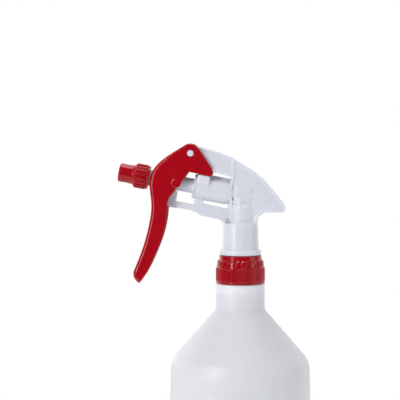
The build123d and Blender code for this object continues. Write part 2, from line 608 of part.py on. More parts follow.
def make_trigger():
    face = trigger_face()
    step = [(-46.3, 14.1), (-21.0, -1.2), (-17.0, -3.8), (-2.1, -12.8), (-0.3, -15.9)]
    above = make_face(Polyline(*step, (30, -30), (30, 30), (-46.3, 30), close=True))
    below = make_face(Polyline(*step, (30, -30), (30, -120), (-66, -120), (-66, 20), close=True))
    outer = front_rounded(face, LEVER_HALF, LEVER_ROUND) & slab(below, LEVER_HALF)
    outer += front_rounded(face, EAR_HALF, EAR_ROUND) & slab(above, EAR_HALF)
    lever_half = LEVER_HALF - TRIGGER_WALL
    ear_half = EAR_HALF - TRIGGER_WALL
    inside = Pos(WEB_T, 0, 0.3) * slab(face, lever_half)
    inside &= Pos(0, 0, -TRIGGER_WALL - 0.9) * slab(below, lever_half)
    gap = Pos(WEB_T, 0, -1.0) * slab(face, ear_half)
    body = outer - inside - gap
    body -= Pos(8, 0, 6) * Box(18, 2 * ear_half, 14)
    tilt = Rotation(0, HEAD_TILT, 0)
    body -= tilt * Pos(-27.0, 0, -23.0) * Box(27, 2 * SLOT_HALF, 33)
    body -= Pos(-12.3, 0, -22.9) * Rot(0, 10, 0) * Box(16, 2 * SLOT_HALF, 20)
    for x, z, length in ((-26.3, -47.9, 7.5), (-29.8, -60.9, 6.5), (-34.1, -72.9, 5.0)):
        body += Pos(x + length / 2, 0, z) * Box(length, 2 * lever_half + 0.5, 1.2)
    pin = Rotation(90, 0, 0) * Cylinder(DRIVE_PIN_R, LEVER_HALF - 2.4)
    boss = Rotation(90, 0, 0) * Cylinder(BOSS_R, 1.0)
    body += tilt * mirrored_parts(Pos(DRIVE_U, (LEVER_HALF + 2.4) / 2 - 0.2, DRIVE_V) * pin)
    body += tilt * mirrored_parts(Pos(DRIVE_U, LEVER_HALF, DRIVE_V) * boss)
    hole = Rotation(90, 0, 0) * Cylinder(PIN_R + RUN_GAP, 2 * EAR_HALF + 2)
    return Pos(PIVOT_X, 0, PIVOT_Z) * (body - hole)


# ---------------------------------------------------------------- files
PARTS = {
    "bottle": make_bottle,
    "closure": make_closure,
    "closure_gasket": make_closure_gasket,
    "valve_insert": make_valve_insert,
    "dip_tube": make_dip_tube,
    "tube_filter": make_tube_filter,
    "intake_ball": make_intake_ball,
    "sprayer_body": make_sprayer_body,
    "channel_plug": make_channel_plug,
    "barrel_guide": make_barrel_guide,
    "piston": make_piston,
    "vent_seal": make_vent_seal,
    "pressure_seal": make_pressure_seal,
    "return_spring": make_return_spring,
    "outlet_valve": make_outlet_valve,
    "outlet_spring": make_outlet_spring,
    "spinner": make_spinner,
    "nozzle_seal": make_nozzle_seal,
    "nozzle_cap": make_nozzle_cap,
    "trigger": make_trigger,
}

os.makedirs("parts", exist_ok=True)
for name, maker in PARTS.items():
    solid = maker()
    solid.label = name
    export_step(solid, f"parts/{name}.step")
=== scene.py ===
"""Trigger spray bottle: moulded white pump head, red trigger, closure and nozzle, milky bottle.

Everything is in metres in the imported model's frame: +Z up the bottle, -X towards the nozzle,
origin at the centre of the bottle's standing ring.
"""

import json
import math

import bmesh
import bpy
from bpy.props import FloatProperty, FloatVectorProperty, IntProperty, PointerProperty
from bpy.types import Operator, Panel, PropertyGroup
from mathutils import Matrix, Vector


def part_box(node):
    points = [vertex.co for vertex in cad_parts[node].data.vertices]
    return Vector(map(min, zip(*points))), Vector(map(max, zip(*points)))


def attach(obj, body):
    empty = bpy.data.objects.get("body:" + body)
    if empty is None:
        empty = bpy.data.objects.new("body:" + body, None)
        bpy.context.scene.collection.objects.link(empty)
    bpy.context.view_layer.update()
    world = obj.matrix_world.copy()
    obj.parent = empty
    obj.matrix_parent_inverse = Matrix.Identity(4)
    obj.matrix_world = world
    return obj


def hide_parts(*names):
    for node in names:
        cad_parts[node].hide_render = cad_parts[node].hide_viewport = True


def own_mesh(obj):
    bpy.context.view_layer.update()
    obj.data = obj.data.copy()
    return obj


bl_info = {
    "name": "Trigger spray bottle",
    "version": (1, 0, 0),
    "blender": (4, 5, 0),
    "location": "3D View > Sidebar > Sprayer",
    "description": "Builds the pieces, finishes and stage of a trigger spray bottle",
    "category": "Object",
}

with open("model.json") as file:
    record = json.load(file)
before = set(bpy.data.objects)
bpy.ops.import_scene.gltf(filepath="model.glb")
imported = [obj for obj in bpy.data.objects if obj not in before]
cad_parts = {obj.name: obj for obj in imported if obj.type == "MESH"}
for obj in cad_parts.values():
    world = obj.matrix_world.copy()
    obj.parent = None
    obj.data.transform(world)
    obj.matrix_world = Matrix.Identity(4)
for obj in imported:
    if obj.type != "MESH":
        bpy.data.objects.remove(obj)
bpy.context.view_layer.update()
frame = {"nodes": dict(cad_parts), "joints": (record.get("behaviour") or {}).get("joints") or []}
MM = 0.001

# ------------------------------------------------------------------ places read from the frame
JOINTS = {joint["name"]: joint for joint in frame["joints"]}
PIVOT = Vector(JOINTS["trigger_pull"]["pos_m"])
BARREL_AXIS = Vector(JOINTS["piston_slide"]["axis"]).normalized()
NOZZLE_POINT = Vector(JOINTS["nozzle_turn"]["pos_m"])
UP_AXIS = Vector((-BARREL_AXIS.z, 0.0, BARREL_AXIS.x))
# Columns u (back along the barrel), y (across) and v (up across the barrel), from the pivot.
HEAD = Matrix((
    (BARREL_AXIS.x, 0.0, UP_AXIS.x, PIVOT.x),
    (0.0, 1.0, 0.0, 0.0),
    (BARREL_AXIS.z, 0.0, UP_AXIS.z, PIVOT.z),
    (0.0, 0.0, 0.0, 1.0),
))
AXIS_V = (NOZZLE_POINT - PIVOT).dot(UP_AXIS)


def node_top(node):
    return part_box(node)[1].z


def node_bottom(node):
    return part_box(node)[0].z


def span_u(node):
    """Lowest and highest place of a CAD node along the barrel, from the pivot."""
    across = [
        (vertex.co - PIVOT).dot(BARREL_AXIS) for vertex in frame["nodes"][node].data.vertices
    ]
    return min(across), max(across)


# ------------------------------------------------------------------ node expressions
class Value:
    """A node socket that can be written into sums; each operator adds one Math node."""

    def __init__(self, graph, socket):
        self.graph = graph
        self.socket = socket

    def _math(self, operation, first, second=None):
        return self.graph.math(operation, first, second)

    def __add__(self, other):
        return self._math("ADD", self, other)

    __radd__ = __add__

    def __sub__(self, other):
        return self._math("SUBTRACT", self, other)

    def __rsub__(self, other):
        return self._math("SUBTRACT", other, self)

    def __mul__(self, other):
        return self._math("MULTIPLY", self, other)

    __rmul__ = __mul__

    def __truediv__(self, other):
        return self._math("DIVIDE", self, other)

    def __rtruediv__(self, other):
        return self._math("DIVIDE", other, self)

    def __abs__(self):
        return self._math("ABSOLUTE", self)

    def __gt__(self, other):
        return self._math("GREATER_THAN", self, other)


class Graph:
    """Adds nodes to a shader or geometry tree."""

    def __init__(self, tree):
        self.tree = tree

    def node(self, kind, settings=None, **inputs):
        """A node of that type; settings are set first, then inputs by name, number or link."""
        made = self.tree.nodes.new(kind)
        for key, value in (settings or {}).items():
            setattr(made, key, value)
        for key, value in inputs.items():
            name = key.replace("_", " ")
            index = int(key[1:]) if key[0] == "i" and key[1:].isdigit() else name
            self.put(made.inputs[index], value)
        return made

    def put(self, socket, value):
        if isinstance(value, Value):
            self.tree.links.new(value.socket, socket)
        elif value is not None:
            socket.default_value = value

    def out(self, made, name=0):
        return Value(self, made.outputs[name])

    def math(self, operation, first, second=None):
        made = self.node("ShaderNodeMath", {"operation": operation}, i0=first, i1=second)
        return self.out(made)

    def ramp(self, value, low, high, to_low=0.0, to_high=1.0):
        """Maps low..high to to_low..to_high, clamped, eased at both ends."""
        made = self.node(
            "ShaderNodeMapRange", {"interpolation_type": "SMOOTHSTEP"},
            i0=value, i1=low, i2=high, i3=to_low, i4=to_high,
        )
        return self.out(made)

    def split(self, vector):
        made = self.node("ShaderNodeSeparateXYZ", i0=vector)
        return [self.out(made, index) for index in range(3)]


# ------------------------------------------------------------------ finishes
def start_material(name):
    """Empty node material, its graph, its shader and the place on the object in millimetres."""
    material = bpy.data.materials.new(name)
    material.use_nodes = True
    material.node_tree.nodes.clear()
    graph = Graph(material.node_tree)
    shader = graph.node("ShaderNodeBsdfPrincipled")
    output = graph.node("ShaderNodeOutputMaterial")
    material.node_tree.links.new(shader.outputs[0], output.inputs["Surface"])
    place = graph.out(graph.node("ShaderNodeTexCoord"), "Object")
    scaled = graph.out(graph.node("ShaderNodeVectorMath", {"operation": "SCALE"}, i0=place, Scale=1000.0))
    return material, graph, shader, scaled


def noise(graph, place, scale, detail=2.0, roughness=0.5):
    made = graph.node(
        "ShaderNodeTexNoise", {"noise_dimensions": "3D"},
        Vector=place, Scale=scale, Detail=detail, Roughness=roughness,
    )
    return graph.out(made, "Fac")


def tint(graph, factor, dark, light):
    """Colour between dark and light."""
    made = graph.node("ShaderNodeMix", {"data_type": "RGBA"}, i0=factor)
    made.inputs[6].default_value = (*dark, 1.0)
    made.inputs[7].default_value = (*light, 1.0)
    return graph.out(made, 2)


def moulded_plastic(name, colour, spread, roughness, grain, scatter=0.0, gloss=0.5, finish=None):
    """Injection-moulded plastic: slow colour drift, uneven gloss and a fine moulded skin."""
    material, graph, shader, place = start_material(name)
    drift = graph.ramp(noise(graph, place, 0.045, 3.0), 0.3, 0.7)
    flow = graph.ramp(noise(graph, place, 0.35, 2.0), 0.35, 0.7)
    dark = [max(0.0, channel * (1.0 - spread)) for channel in colour]
    light = [min(1.0, channel * (1.0 + 0.5 * spread)) for channel in colour]
    shade = drift * 0.7 + flow * 0.3
    graph.put(shader.inputs["Base Color"], tint(graph, shade, dark, light))
    smudge = graph.ramp(noise(graph, place, 0.12, 4.0, 0.6), 0.45, 0.75)
    graph.put(shader.inputs["Roughness"], smudge * 0.05 + flow * 0.02 + roughness)
    skin = noise(graph, place, 1.6, 2.0) * 0.6 + noise(graph, place, 0.3, 1.0) * 1.4
    bump = graph.node("ShaderNodeBump", Strength=grain, Distance=0.0001, Height=skin)
    graph.put(shader.inputs["Normal"], graph.out(bump))
    shader.inputs["Specular IOR Level"].default_value = gloss
    if scatter:
        shader.inputs["Subsurface Weight"].default_value = scatter
        shader.inputs["Subsurface Radius"].default_value = (1.0, 0.95, 0.9)
        shader.inputs["Subsurface Scale"].default_value = 0.0025
    if finish:
        finish(graph, shader, place)
    return material


def milky_bottle(name, colour):
    """Blow-moulded milky plastic: satin, faint draw streaks, a parting line on both sides."""
    material, graph, shader, place = start_material(name)
    x, y, z = graph.split(place)
    streak_place = graph.out(graph.node(
        "ShaderNodeVectorMath", {"operation": "MULTIPLY"}, i0=place, i1=(1.0, 1.0, 0.05)))
    streak = noise(graph, streak_place, 0.28, 3.0)
    cloud = noise(graph, place, 0.03, 3.0)
    shade = graph.ramp(streak * 0.4 + cloud * 0.6, 0.35, 0.65)
    dark = [channel * 0.965 for channel in colour]
    graph.put(shader.inputs["Base Color"], tint(graph, shade, dark, colour))
    graph.put(shader.inputs["Roughness"], graph.ramp(cloud, 0.3, 0.7, 0.36, 0.46))
    seam = graph.ramp(abs(y), 0.0, 0.35, 1.0, 0.0)
    height = seam * 0.5 + streak * 0.35 + noise(graph, place, 0.9, 2.0) * 0.12
    bump = graph.node("ShaderNodeBump", Strength=0.35, Distance=0.00018, Height=height)
    graph.put(shader.inputs["Normal"], graph.out(bump))
    shader.inputs["Subsurface Weight"].default_value = 0.35
    shader.inputs["Subsurface Radius"].default_value = (1.0, 1.0, 1.0)
    shader.inputs["Subsurface Scale"].default_value = 0.012
    return material


def bright_steel(name):
    """Drawn spring wire and the polished ball."""
    material, graph, shader, place = start_material(name)
    haze = noise(graph, place, 2.0, 2.0)
    graph.put(shader.inputs["Base Color"], tint(graph, haze, (0.55, 0.55, 0.56), (0.72, 0.72, 0.73)))
    graph.put(shader.inputs["Roughness"], graph.ramp(haze, 0.3, 0.7, 0.18, 0.32))
    shader.inputs["Metallic"].default_value = 1.0
    return material


FINISHES = {}


def finish(name):
    """The named finish, made the first time that it is asked for."""
    if name not in FINISHES:
        colours = bpy.context.scene.sprayer_colours
        makers = {
            "white": lambda: moulded_plastic(
                "white moulded plastic", colours.white[:], 0.03, 0.28, 0.08, scatter=0.35),
            "red": lambda: moulded_plastic(
                "red moulded plastic", colours.red[:], 0.1, 0.1, 0.02, gloss=0.4),
            "milk": lambda: milky_bottle("milky bottle plastic", colours.bottle[:]),
            "tube": lambda: moulded_plastic(
                "soft tube plastic", (0.78, 0.79, 0.8), 0.04, 0.38, 0.15, scatter=0.4),
            "seal": lambda: moulded_plastic(
                "soft seal plastic", (0.7, 0.71, 0.7), 0.05, 0.45, 0.25, scatter=0.3),
            "foam": lambda: moulded_plastic(
                "foam gasket", (0.74, 0.74, 0.7), 0.08, 0.7, 0.8),
            "grey": lambda: moulded_plastic(
                "greenish plug plastic", (0.6, 0.66, 0.6), 0.08, 0.3, 0.2),
            "steel": lambda: bright_steel("bright steel"),
        }
        FINISHES[name] = makers[name]()
    return FINISHES[name]


def dress(thing, name):
    """Puts one finish on a piece."""
    thing.data.materials.clear()
    thing.data.materials.append(finish(name))


# ------------------------------------------------------------------ mesh helpers
def add_object(name, mesh):
    thing = bpy.data.objects.new(name, mesh)
    bpy.context.scene.collection.objects.link(thing)
    return thing


def mesh_object(name, mesh, outward=True):
    """Object from a finished bmesh, which is freed; its faces are turned outwards if asked."""
    if outward:
        bmesh.ops.recalc_face_normals(mesh, faces=mesh.faces)
    data = bpy.data.meshes.new(name)
    mesh.to_mesh(data)
    mesh.free()
    return add_object(name, data)


def blended(points, steps=5):
    """Outline points from (a, b, radius) corners; a corner with a radius becomes an arc."""
    out = []
    count = len(points)
    for index, (a, b, radius) in enumerate(points):
        here = Vector((a, b))
        before = Vector(points[index - 1][:2]) - here
        after = Vector(points[(index + 1) % count][:2]) - here
        if radius <= 0 or not before.length or not after.length:
            out.append((a, b))
            continue
        half = before.angle(after) / 2
        reach = min(radius / math.tan(half), before.length * 0.49, after.length * 0.49)
        real = reach * math.tan(half)
        start = here + before.normalized() * reach
        end = here + after.normalized() * reach
        centre = here + (before.normalized() + after.normalized()).normalized() * (real / math.sin(half))
        first = math.atan2(*(start - centre).yx)
        turn = (math.atan2(*(end - centre).yx) - first + math.pi) % (2 * math.pi) - math.pi
        for step in range(steps + 1):
            angle = first + turn * step / steps
            out.append((centre.x + real * math.cos(angle), centre.y + real * math.sin(angle)))
    return out


def divided(points, longest):
    """The closed outline with long runs split, so that ribs have rows to stand on."""
    out = []
    for index, here in enumerate(points):
        there = points[(index + 1) % len(points)]
        parts = max(1, math.ceil(math.dist(here, there) / longest))
        for part in range(parts):
            share = part / parts
            out.append((here[0] + (there[0] - here[0]) * share, here[1] + (there[1] - here[1]) * share))
    return out


def lathe(name, outline, segments):
    """Closed turned solid about Z from an outline of (radius, height); radius 0 is a pole."""
    mesh = bmesh.new()
    rings = []
    for radius, height in outline:
        if radius < 1e-7:
            rings.append([mesh.verts.new((0, 0, height))])
            continue
        rings.append([
            mesh.verts.new((
                radius * math.cos(2 * math.pi * step / segments),
                radius * math.sin(2 * math.pi * step / segments), height,
            ))
            for step in range(segments)
        ])
    for index, ring in enumerate(rings):
        following = rings[(index + 1) % len(rings)]
        if len(ring) == 1 and len(following) == 1:
            continue
        for step in range(segments):
            ahead = (step + 1) % segments
            if len(ring) == 1:
                corners = (ring[0], following[step], following[ahead])
            elif len(following) == 1:
                corners = (ring[step], following[0], ring[ahead])
            else:
                corners = (ring[step], following[step], following[ahead], ring[ahead])
            mesh.faces.new(corners)
    turned = mesh_object(name, mesh)
    turned.data.shade_smooth()
    return turned


def prism(name, corners, half, place):
    """Closed plate from (x, z) corners, from -half to +half across, then moved."""
    mesh = bmesh.new()
    near = [mesh.verts.new((x, -half, z)) for x, z in corners]
    far = [mesh.verts.new((x, half, z)) for x, z in corners]
    mesh.faces.new(near)
    mesh.faces.new(far[::-1])
    for index in range(len(corners)):
        after = (index + 1) % len(corners)
        mesh.faces.new((near[index], near[after], far[after], far[index]))
    plate = mesh_object(name, mesh)
    plate.data.transform(place)
    return plate


def cad_copy(name, node):
    """Joined-up copy of a CAD node's mesh."""
    mesh = bmesh.new()
    mesh.from_mesh(frame["nodes"][node].data)
    bmesh.ops.remove_doubles(mesh, verts=mesh.verts, dist=0.002 * MM)
    return mesh_object(name, mesh, outward=False)


def merged(name, things):
    """One mesh from several objects; the objects are removed."""
    mesh = bmesh.new()
    for thing in things:
        mesh.from_mesh(thing.data)
        bpy.data.objects.remove(thing)
    return mesh_object(name, mesh, outward=False)


def settled(thing):
    """Applies the modifiers and leaves a plain mesh."""
    graph = bpy.context.evaluated_depsgraph_get()
    data = bpy.data.meshes.new_from_object(thing.evaluated_get(graph), depsgraph=graph)
    data.name = thing.name
    thing.modifiers.clear()
    old = thing.data
    thing.data = data
    bpy.data.meshes.remove(old)
    return thing


def soften(thing, voxel, rounds, most):
    """Melts a hard-edged solid into one moulded skin with small soft edges."""
    remesh = thing.modifiers.new("skin", "REMESH")
    remesh.mode = "VOXEL"
    remesh.voxel_size = voxel
    smooth = thing.modifiers.new("soft edges", "SMOOTH")
    smooth.factor = 0.5
    smooth.iterations = rounds
    settled(thing)
    triangles = 2 * len(thing.data.polygons)
    if triangles > most:
        thin = thing.modifiers.new("thin", "DECIMATE")
        thin.ratio = most / triangles
        settled(thing)
    thing.data.shade_smooth()
    return thing


# ------------------------------------------------------------------ geometry node trees
def new_tree(name, inputs):
    """Geometry node tree with named inputs; returns the graph and its inputs."""
    tree = bpy.data.node_groups.new(name, "GeometryNodeTree")
    tree.interface.new_socket("Geometry", in_out="INPUT", socket_type="NodeSocketGeometry")
    tree.interface.new_socket("Geometry", in_out="OUTPUT", socket_type="NodeSocketGeometry")
    for label, kind in inputs:
        tree.interface.new_socket(label, in_out="INPUT", socket_type=f"NodeSocket{kind}")
    graph = Graph(tree)
    source = graph.node("NodeGroupInput")
    return graph, {socket.name: Value(graph, socket) for socket in source.outputs if socket.name}


def finish_tree(graph, geometry, material):
    """Ends a tree in Realize Instances and Set Material."""
    real = graph.node("GeometryNodeRealizeInstances", i0=geometry)
    coat = graph.node("GeometryNodeSetMaterial", Geometry=graph.out(real), Material=material)
    graph.node("NodeGroupOutput", i0=graph.out(coat))
    return graph.tree


def grow(thing, tree, **values):
    """Runs a geometry tree on a piece with its inputs set by name, and keeps a plain mesh."""
    modifier = thing.modifiers.new(tree.name, "NODES")
    modifier.node_group = tree
    for item in tree.interface.items_tree:
        key = item.name.replace(" ", "_").lower()
        if item.in_out == "INPUT" and key in values:
            modifier[item.identifier] = values[key]
    return settled(thing)


def ribbed_tree(name, material):
    """Raises ribs and sinks notches round a turned piece about Z."""
    graph, inputs = new_tree(name, (
        ("Rib Count", "Float"), ("Rib Height", "Float"), ("Rib Sharpness", "Float"),
        ("Rib From", "Float"), ("Rib To", "Float"), ("Rib Fade", "Float"),
        ("Notch Count", "Float"), ("Notch Depth", "Float"), ("Notch From", "Float"),
        ("Notch To", "Float"), ("Outside From", "Float"),
    ))
    place = graph.out(graph.node("GeometryNodeInputPosition"))
    x, y, z = graph.split(place)
    radius = graph.math("SQRT", x * x + y * y)
    angle = graph.math("ARCTAN2", y, x)
    outside = radius > inputs["Outside From"]

    def between(low, high, fade):
        rise = graph.ramp(z, low, low + fade)
        fall = graph.ramp(z, high - fade, high, 1.0, 0.0)
        return rise * fall

    def wave(count, sharpness):
        turn = graph.math("COSINE", angle * count)
        return graph.ramp(turn * sharpness, -1.0, 1.0)

    ribs = wave(inputs["Rib Count"], inputs["Rib Sharpness"]) * inputs["Rib Height"]
    ribs = ribs * between(inputs["Rib From"], inputs["Rib To"], inputs["Rib Fade"])
    turn = graph.math("COSINE", angle * inputs["Notch Count"])
    notches = graph.ramp(turn, 0.15, 0.75) * inputs["Notch Depth"]
    notches = notches * between(inputs["Notch From"], inputs["Notch To"], 0.0005)
    lift = (ribs - notches) * outside
    out_way = graph.out(graph.node("ShaderNodeCombineXYZ", X=x / radius, Y=y / radius, Z=0.0))
    move = graph.out(graph.node("ShaderNodeVectorMath", {"operation": "SCALE"}, i0=out_way, Scale=lift))
    shaped = graph.node("GeometryNodeSetPosition", Geometry=inputs["Geometry"], Offset=move)
    return finish_tree(graph, graph.out(shaped), material)


def coil_tree(name, material):
    """Round wire wound into a compression spring about Z, with closer turns at both ends."""
    graph, inputs = new_tree(name, (
        ("Turns", "Float"), ("Radius", "Float"), ("Length", "Float"), ("Wire", "Float"),
    ))
    line = graph.node("GeometryNodeMeshLine", Count=361)
    index = graph.out(graph.node("GeometryNodeInputIndex"))
    share = index / 360.0
    angle = share * inputs["Turns"] * (2 * math.pi)
    ends = graph.math("SINE", share * (2 * math.pi)) * 0.045
    height = (share - ends) * inputs["Length"]
    spot = graph.out(graph.node(
        "ShaderNodeCombineXYZ", X=graph.math("COSINE", angle) * inputs["Radius"],
        Y=graph.math("SINE", angle) * inputs["Radius"], Z=height,
    ))
    wound = graph.node("GeometryNodeSetPosition", Geometry=graph.out(line), Position=spot)
    curve = graph.node("GeometryNodeMeshToCurve", i0=graph.out(wound))
    ring = graph.node("GeometryNodeCurvePrimitiveCircle", Resolution=10, Radius=inputs["Wire"])
    wire = graph.node("GeometryNodeCurveToMesh", i0=graph.out(curve), i1=graph.out(ring))
    wire.inputs["Fill Caps"].default_value = True
    return finish_tree(graph, graph.out(wire), material)


# ------------------------------------------------------------------ settings
class SprayerColours(PropertyGroup):
    red: FloatVectorProperty(
        name="Red", description="Colour of the trigger, closure and nozzle",
        subtype="COLOR", min=0, max=1, default=(0.37, 0.001, 0.007))
    white: FloatVectorProperty(
        name="White", description="Colour of the pump head's frame",
        subtype="COLOR", min=0, max=1, default=(0.7, 0.715, 0.77))
    bottle: FloatVectorProperty(
        name="Bottle", description="Colour of the milky bottle",
        subtype="COLOR", min=0, max=1, default=(0.84, 0.85, 0.89))


class SprayerSizes(PropertyGroup):
    neck_ribs: IntProperty(
        name="Closure ribs", description="Grip ribs round the closure's skirt", default=60, min=12)
    band_notches: IntProperty(
        name="Closure notches", description="Notches round the closure's shoulder", default=28, min=6)
    nozzle_ribs: IntProperty(
        name="Nozzle ribs", description="Grip ribs round the nozzle cap", default=18, min=6)
    rib_height: FloatProperty(
        name="Rib height", description="Height of the closure's grip ribs",
        default=0.32 * MM, unit="LENGTH")
    bottle_wall: FloatProperty(
        name="Bottle wall", description="Wall thickness of the bottle", default=1.3 * MM, unit="LENGTH")
    spring_wire: FloatProperty(
        name="Spring wire", description="Radius of the return spring's wire",
        default=0.4 * MM, unit="LENGTH")


# ------------------------------------------------------------------ bottle
NECK_Z = node_bottom("closure")
CLOSURE_TOP = node_top("closure")
# Steps round each turned skin: enough of them that every rib and notch keeps its edges.
BOTTLE_SEGMENTS, CLOSURE_SEGMENTS, CAP_SEGMENTS = 160, 720, 432
# The sizes below are in millimetres, like every outline.
LIP_Z = 197.4
BODY_R, BODY_TOP_Z = 47.9, 105.0
SHOULDER_R, SHOULDER_Z = 47.2, 130.4
NECK_R, NECK_FOOT_Z, NECK_TOP_Z = 16.6, 165.7, 183.5
FINISH_R, MOUTH_R = 12.65, 10.8
FOOT_R, PUSH_UP = 39.5, 3.5
THREAD_R, THREAD_Z, THREAD_PITCH, THREAD_TURNS = 13.65, 186.2, 4.233, 1.5
CLOSURE_BORE_R, CLOSURE_TOP_R = 13.95, 12.4
SKIRT_R, SKIRT_LIP_R, RING_R = 16.4, 16.85, 14.45


def bottle_outline(wall):
    """Outer then inner wall of the bottle, as (radius, height) in millimetres."""
    outer = blended([
        (0.0, PUSH_UP, 0), (24.0, PUSH_UP - 0.4, 6), (FOOT_R - 5.0, 0.0, 3), (FOOT_R, 0.0, 8),
        (BODY_R, 8.2, 9), (BODY_R, BODY_TOP_Z, 60), (SHOULDER_R, SHOULDER_Z, 17),
        (NECK_R, NECK_FOOT_Z, 3), (NECK_R, NECK_TOP_Z, 0.7), (FINISH_R, NECK_TOP_Z, 0.4),
        (FINISH_R, LIP_Z - 0.4, 0.5), (FINISH_R - 0.45, LIP_Z, 0.3), (MOUTH_R, LIP_Z, 0.3),
    ], 8)
    inner = blended([
        (MOUTH_R, LIP_Z, 0), (MOUTH_R, NECK_TOP_Z - 2.5, 2), (NECK_R - wall, NECK_TOP_Z - 7.5, 2),
        (NECK_R - wall, NECK_FOOT_Z + 0.6, 3), (SHOULDER_R - wall, SHOULDER_Z + 0.6, 16),
        (BODY_R - wall, BODY_TOP_Z, 60), (BODY_R - wall, 9.4, 8), (FOOT_R - 0.2, 1.4, 6),
        (FOOT_R - 5.5, 1.4, 3), (23.5, PUSH_UP + 1.1, 5), (0.0, PUSH_UP + 1.5, 0),
    ], 8)
    return outer, inner[1:]


class SPRAYER_OT_bottle(Operator):
    """Blow-moulded bottle with its neck, thread and parting line"""

    bl_idname = "sprayer.bottle"
    bl_label = "Bottle"

    def execute(self, context):
        wall = context.scene.sprayer_sizes.bottle_wall / MM
        outer, inner = bottle_outline(wall)
        outer = [(r * MM, z * MM) for r, z in outer]
        inner = [(r * MM, z * MM) for r, z in inner]
        bottle = lathe("bottle_skin", outer + inner, BOTTLE_SEGMENTS)
        shell = bmesh.new()
        shell.from_mesh(bottle.data)
        # Vacuum marks: a hair of unevenness where the wall is thin, none at the neck or foot.
        for vertex in shell.verts:
            radius = math.hypot(vertex.co.x, vertex.co.y)
            if 0.045 < radius and 0.012 < vertex.co.z < 0.125:
                angle = math.atan2(vertex.co.y, vertex.co.x)
                share = math.sin((vertex.co.z - 0.012) / 0.113 * math.pi)
                dip = 0.00010 * share * (1 + math.cos(4 * angle + 0.7))
                vertex.co.x *= 1 - dip / radius
                vertex.co.y *= 1 - dip / radius
        shell.to_mesh(bottle.data)
        shell.free()
        thread = thread_strip(
            THREAD_R * MM, (FINISH_R - 0.25) * MM, THREAD_Z * MM, THREAD_PITCH * MM, THREAD_TURNS)
        whole = merged("bottle_skin", [bottle, thread])
        whole.data.shade_smooth()
        dress(whole, "milk")
        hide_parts("bottle")
        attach(whole, "bottle")
        return {"FINISHED"}


def thread_strip(crest, root, start, pitch, turns, steps=140):
    """Closed helical thread ridge about Z, fading in and out at its ends."""
    mesh = bmesh.new()
    rings = []
    for step in range(steps + 1):
        share = step / steps
        angle = 2 * math.pi * turns * share
        fade = min(1.0, share * 14, (1 - share) * 14)
        top = root + (crest - root) * max(fade, 0.04)
        height = start + pitch * turns * share
        half = pitch * 0.26
        rings.append([
            mesh.verts.new((radius * math.cos(angle), radius * math.sin(angle), height + rise))
            for radius, rise in ((root, -half), (top, -half * 0.4), (top, half * 0.4), (root, half))
        ])
    for ring, following in zip(rings, rings[1:]):
        for index in range(4):
            after = (index + 1) % 4
            mesh.faces.new((ring[index], ring[after], following[after], following[index]))
    mesh.faces.new(rings[0])
    mesh.faces.new(rings[-1][::-1])
    return mesh_object("thread", mesh)


# ------------------------------------------------------------------ closure
class SPRAYER_OT_closure(Operator):
    """Ribbed screw closure with a notched shoulder"""

    bl_idname = "sprayer.closure"
    bl_label = "Closure"

    def execute(self, context):
        sizes = context.scene.sprayer_sizes
        low = NECK_Z / MM
        outline = divided(blended([
            (CLOSURE_BORE_R, low + 0.9, 0.2), (SKIRT_LIP_R - 0.35, low + 0.9, 0.35),
            (SKIRT_LIP_R, low + 1.2, 0.3), (SKIRT_LIP_R, low + 1.9, 0.3), (SKIRT_R, low + 2.2, 0.2),
            (SKIRT_R, low + 11.4, 0.5), (SKIRT_R - 0.35, low + 12.1, 0.4),
            (SKIRT_R - 0.65, low + 15.6, 1.0), (RING_R, low + 16.9, 0.3),
            (RING_R, CLOSURE_TOP / MM, 0.6), (CLOSURE_TOP_R, CLOSURE_TOP / MM, 0.3),
            (CLOSURE_TOP_R, low + 17.6, 0.2), (CLOSURE_BORE_R, low + 17.4, 0.2),
        ], 4), 0.55)
        body = lathe("closure_skin", [(r * MM, z * MM) for r, z in outline], CLOSURE_SEGMENTS)
        tree = ribbed_tree("grip ribs and notches", finish("red"))
        body = grow(
            body, tree, rib_count=float(sizes.neck_ribs), rib_height=sizes.rib_height,
            rib_sharpness=1.25, rib_from=NECK_Z + 2.1 * MM, rib_to=NECK_Z + 11.7 * MM,
            rib_fade=0.7 * MM, notch_count=float(sizes.band_notches), notch_depth=0.75 * MM,
            notch_from=NECK_Z + 12.3 * MM, notch_to=NECK_Z + 16.6 * MM, outside_from=14.2 * MM,
        )
        body.data.shade_smooth()
        dress(body, "red")
        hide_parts("closure")
        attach(body, "closure")
        return {"FINISHED"}


